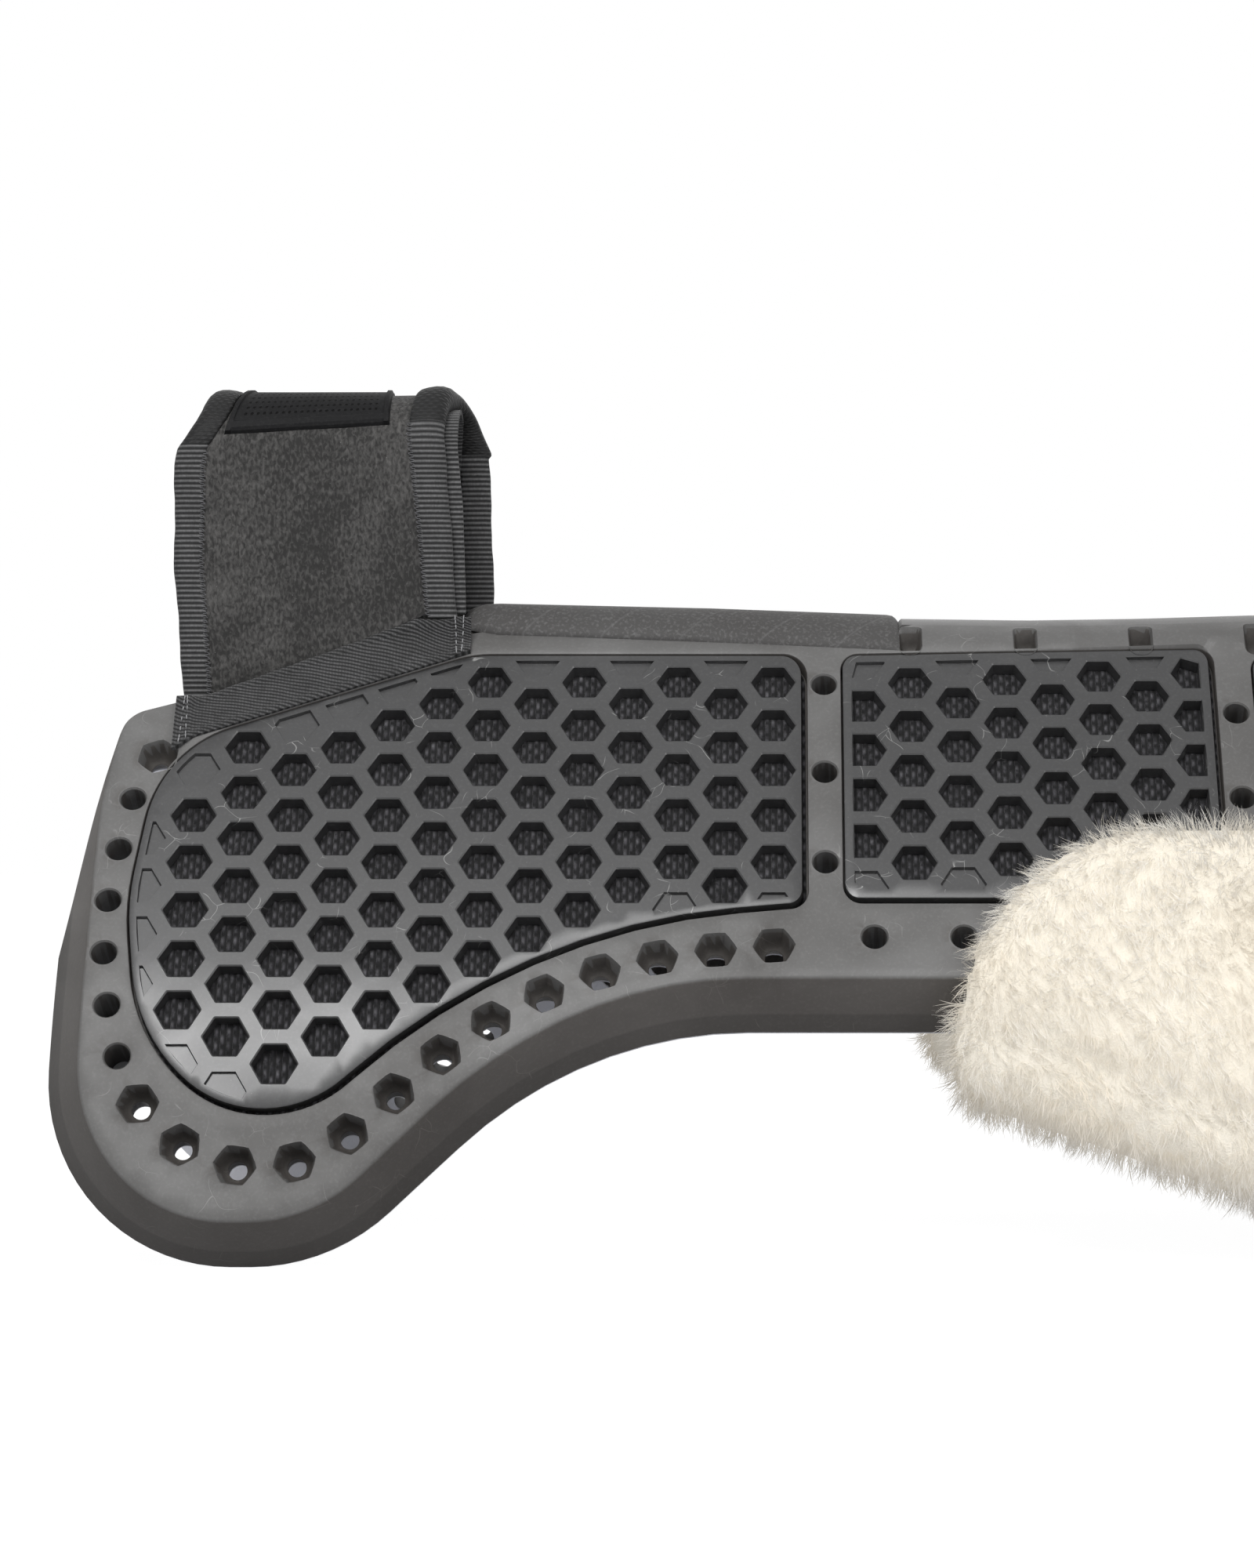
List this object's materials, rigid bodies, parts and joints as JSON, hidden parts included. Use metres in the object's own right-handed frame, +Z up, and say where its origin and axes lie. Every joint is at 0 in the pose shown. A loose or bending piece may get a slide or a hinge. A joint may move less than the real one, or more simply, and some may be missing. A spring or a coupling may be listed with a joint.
{
  "type": "saddle half pad",
  "caption": "Shock-absorbing saddle half pad: two draped rubber panels with pocketed honeycomb shims, a wither strap and fleece covers on the rear lobes.",
  "frame": {"origin": "bottom centre of the bounding box, on the surface that the lobes stand on", "axes": "+X along the spine from the withers to the rear, +Y from the near (left) panel to the off (right) panel, +Z up"},
  "size_m": [0.562, 0.3016, 0.2988],
  "materials": {
    "rubber": "matte moulded foam rubber, mid grey",
    "spine_rubber": "matte moulded foam rubber, thinner and more flexible",
    "facing": "fine-grained foam facing",
    "shim_rubber": "satin dark grey rubber honeycomb",
    "lining": "dark grey woven lining",
    "under_knit": "pale grey knit lining",
    "velour": "charcoal brushed microfibre",
    "binding": "ribbed grosgrain binding",
    "tab_tape": "twill tape",
    "hook_loop": "hook and loop tape",
    "badge": "black moulded rubber, blank",
    "knit": "knitted backing",
    "fleece": "cream faux-fur pile"
  },
  "bodies": {
    "near_side": {"near_panel": "rubber", "near_under_lining": "under_knit", "spine_strip": "spine_rubber", "near_wither_facing": "facing", "near_front_lining": "lining", "near_middle_lining": "lining", "near_rear_lining": "lining", "near_tab_tape": "tab_tape", "near_hook_tape": "hook_loop"},
    "off_side": {"off_panel": "rubber", "off_under_lining": "under_knit", "off_wither_facing": "facing", "off_front_lining": "lining", "off_middle_lining": "lining", "off_rear_lining": "lining", "off_tab_tape": "tab_tape", "off_hook_tape": "hook_loop"},
    "near_strap": {"near_leg": "velour", "near_front_binding": "binding", "near_rear_binding": "binding", "near_loop_tape": "hook_loop", "strap_fold": "velour", "fold_front_binding": "binding", "fold_rear_binding": "binding", "strap_badge": "badge"},
    "off_strap": {"off_leg": "velour", "off_front_binding": "binding", "off_rear_binding": "binding", "hook_tail": "hook_loop"},
    "near_fleece": {"near_fleece_backing": "knit", "near_fleece_pile": "fleece"},
    "off_fleece": {"off_fleece_backing": "knit", "off_fleece_pile": "fleece"},
    "near_front_insert": {"near_front_shim": "shim_rubber"},
    "near_middle_insert": {"near_middle_shim": "shim_rubber"},
    "near_rear_insert": {"near_rear_shim": "shim_rubber"},
    "off_front_insert": {"off_front_shim": "shim_rubber"},
    "off_middle_insert": {"off_middle_shim": "shim_rubber"},
    "off_rear_insert": {"off_rear_shim": "shim_rubber"}
  },
  "joints": [
    {"name": "spine_fold", "type": "hinge", "parent": "near_side", "child": "off_side", "pos_m": [0, 0, 0.205], "axis": [1, 0, 0], "range_deg": [-20, 30], "stiffness_Nm_per_rad": 5, "deforming": ["spine_strip", "hook_tail"]},
    {"name": "off_strap_lean", "type": "hinge", "parent": "off_side", "child": "off_strap", "pos_m": [-0.198, 0.018, 0.212], "axis": [1, 0, 0], "range_deg": [-30, 20]},
    {"name": "strap_peel", "type": "hinge", "parent": "near_side", "child": "near_strap", "pos_m": [-0.198, -0.0208, 0.20069], "axis": [0.9724, 0, 0.2334], "range_deg": [0, 80], "deforming": ["strap_fold", "fold_front_binding", "fold_rear_binding"]},
    {"name": "near_front_shim_lift", "type": "slide", "parent": "near_side", "child": "near_front_insert", "axis": [0, -1, 0], "range_m": [0, 0.05]},
    {"name": "near_middle_shim_lift", "type": "slide", "parent": "near_side", "child": "near_middle_insert", "axis": [0, -1, 0], "range_m": [0, 0.05]},
    {"name": "near_rear_shim_lift", "type": "slide", "parent": "near_side", "child": "near_rear_insert", "axis": [0, -1, 0], "range_m": [0, 0.05]},
    {"name": "near_fleece_pull", "type": "slide", "parent": "near_side", "child": "near_fleece", "axis": [0, -1, 0], "range_m": [0, 0.06], "deforming": ["near_fleece_backing", "near_fleece_pile"]},
    {"name": "off_front_shim_lift", "type": "slide", "parent": "off_side", "child": "off_front_insert", "axis": [0, 1, 0], "range_m": [0, 0.05]},
    {"name": "off_middle_shim_lift", "type": "slide", "parent": "off_side", "child": "off_middle_insert", "axis": [0, 1, 0], "range_m": [0, 0.05]},
    {"name": "off_rear_shim_lift", "type": "slide", "parent": "off_side", "child": "off_rear_insert", "axis": [0, 1, 0], "range_m": [0, 0.05]},
    {"name": "off_fleece_pull", "type": "slide", "parent": "off_side", "child": "off_fleece", "axis": [0, 1, 0], "range_m": [0, 0.06], "deforming": ["off_fleece_backing", "off_fleece_pile"]}
  ],
  "couplings": [
    {"joint": "off_strap_lean", "follows": "spine_fold", "ratio": -1}
  ]
}
